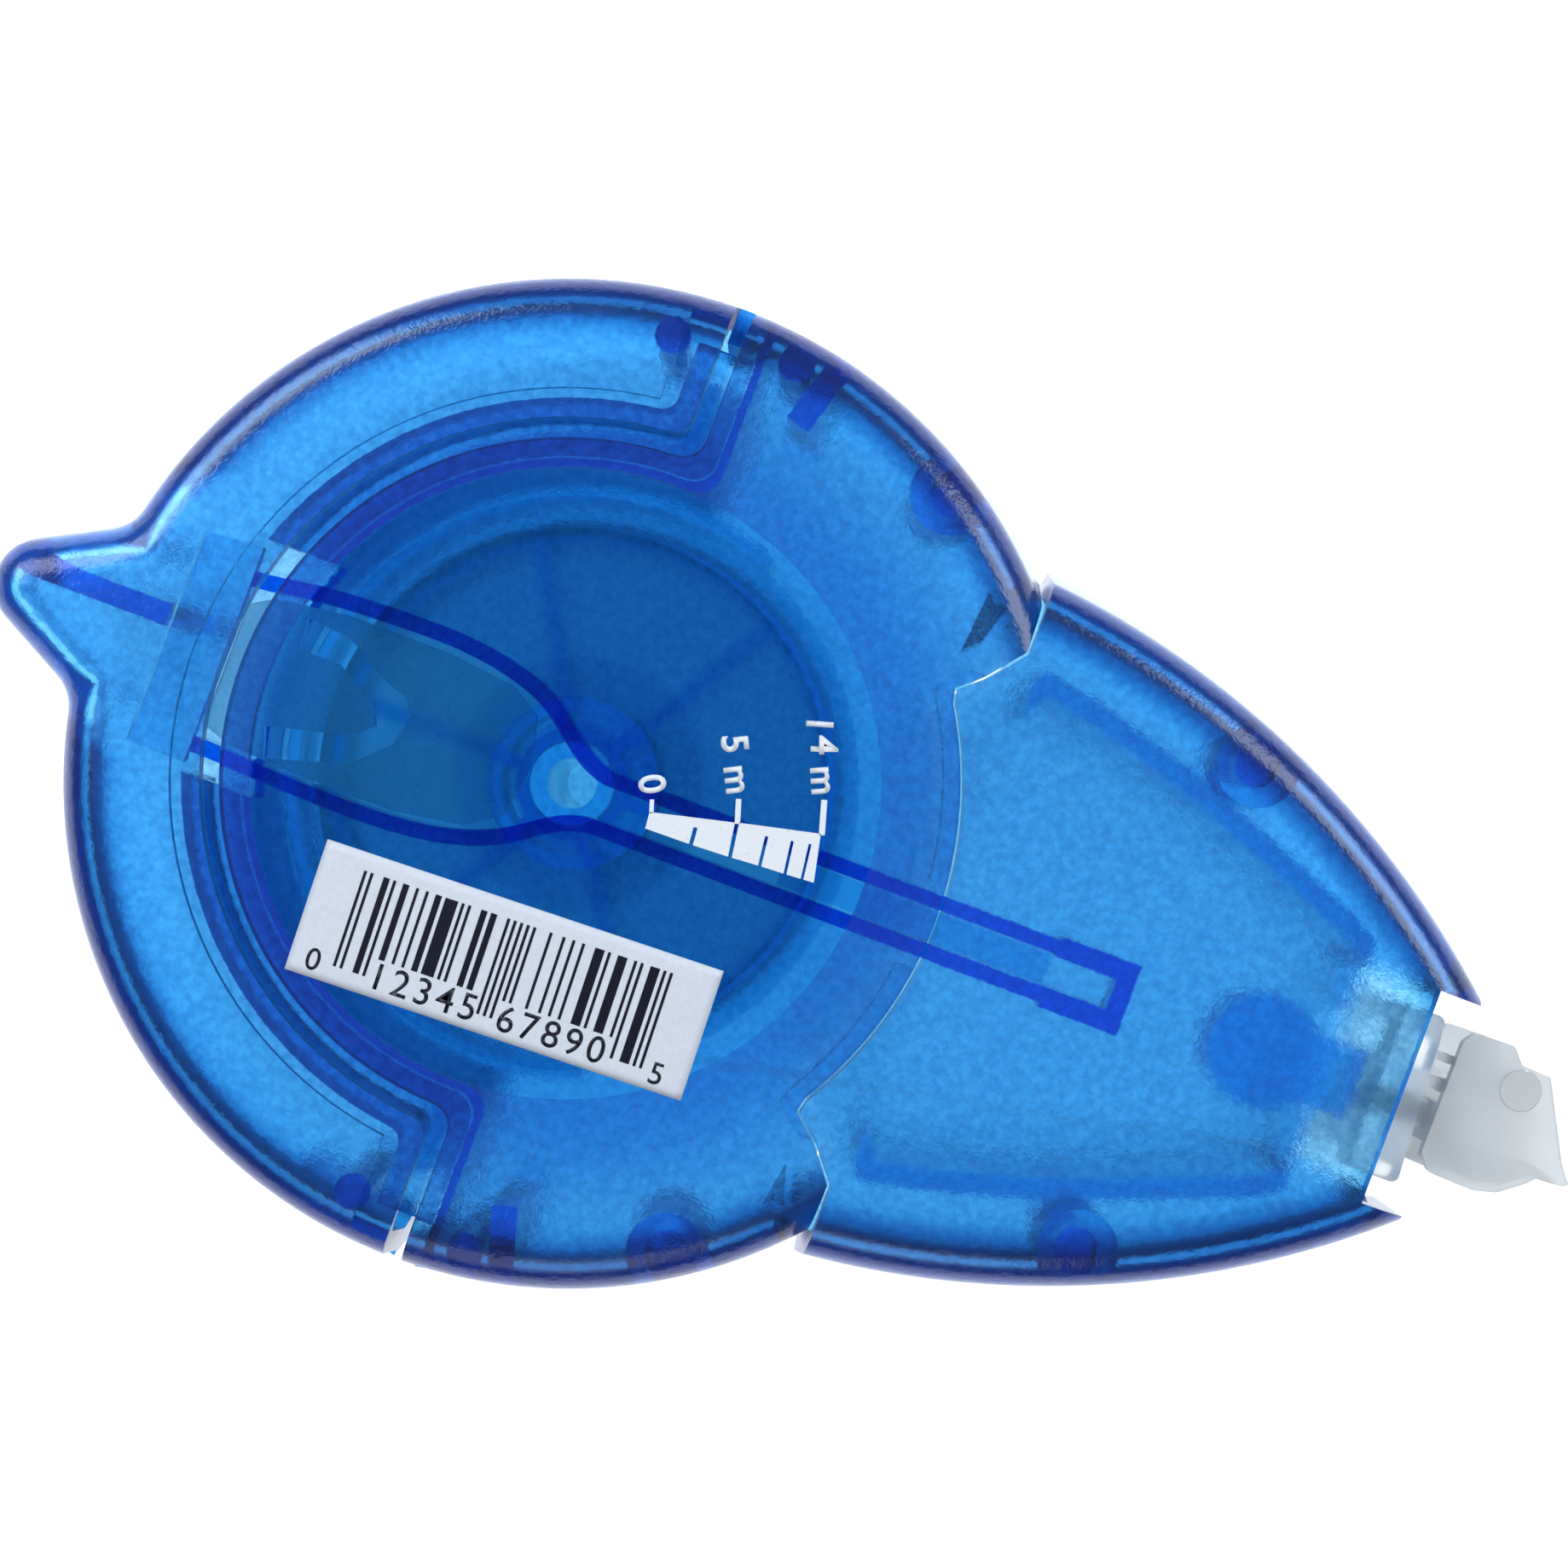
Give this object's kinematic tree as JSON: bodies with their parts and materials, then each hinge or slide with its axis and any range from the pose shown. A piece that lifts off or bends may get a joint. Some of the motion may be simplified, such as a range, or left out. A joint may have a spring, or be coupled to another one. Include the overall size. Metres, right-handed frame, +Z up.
{
  "type": "correction tape roller",
  "caption": "Palm-sized correction tape roller with a clear blue shell, a pull-out tail, stacked supply and take-up reels and a swivelling white tip.",
  "frame": {"origin": "bottom centre of the bounding box, on the flat back face", "axes": "+X from the tail tab to the tape tip, +Y to the roller's left seen from the scale side, +Z up out of the scale side, along the reel axis"},
  "size_m": [0.106, 0.0652, 0.0201],
  "materials": {
    "clear_blue_shell": "clear blue, finely grained outside, polished round window",
    "clear_blue_tongue": "clear blue, smooth",
    "blue_refill": "translucent blue, smooth",
    "milky_plastic": "milky translucent, satin",
    "deep_blue_reel": "deep blue, smooth",
    "takeup_blue": "blue, satin",
    "white_tape": "white coated film",
    "white_print": "white ink",
    "paper_label": null
  },
  "bodies": {
    "case": {"middle_front_shell": "clear_blue_shell", "middle_back_shell": "clear_blue_shell", "nose_front_shell": "clear_blue_shell", "nose_back_shell": "clear_blue_shell", "refill_frame": "blue_refill", "anchor_plate": "blue_refill", "neck_plate": "milky_plastic", "spindle": "blue_refill", "hub_cap": "blue_refill", "tape_feed_run": "white_tape", "tape_return_run": "white_tape", "scale_print": "white_print", "price_label": "paper_label"},
    "tail": {"tail_front_shell": "clear_blue_shell", "tail_back_shell": "clear_blue_shell", "guide_tongue": "clear_blue_tongue", "tongue_root": "clear_blue_tongue"},
    "supply": {"supply_reel": "deep_blue_reel", "supply_flange": "deep_blue_reel", "supply_tape_roll": "white_tape"},
    "takeup": {"takeup_reel": "takeup_blue", "takeup_tape_wrap": "white_tape", "clutch_ring": "takeup_blue"},
    "head": {"head_front_plate": "milky_plastic", "head_back_plate": "milky_plastic", "guide_pin": "milky_plastic", "head_blade": "milky_plastic", "swivel_shaft": "milky_plastic", "neck_arms": "milky_plastic", "tape_tip_wrap": "white_tape"}
  },
  "joints": [
    {"name": "tail_slide", "type": "slide", "parent": "case", "child": "tail", "axis": [-1, 0, 0], "range_m": [0, 0.028]},
    {"name": "supply_spin", "type": "hinge", "parent": "case", "child": "supply", "pos_m": [-0.01438, 0.0004, 0.012], "axis": [0, 0, 1], "continuous": true},
    {"name": "takeup_spin", "type": "hinge", "parent": "case", "child": "takeup", "pos_m": [-0.01438, 0.0004, 0.006], "axis": [0, 0, 1], "continuous": true},
    {"name": "tip_swivel", "type": "hinge", "parent": "case", "child": "head", "pos_m": [0.0425, -0.0004, 0.01], "axis": [1, 0, 0], "range_deg": [-6, 6], "stiffness_Nm_per_rad": 0.02}
  ],
  "couplings": [
    {"joint": "takeup_spin", "follows": "supply_spin", "ratio": 0.938}
  ]
}
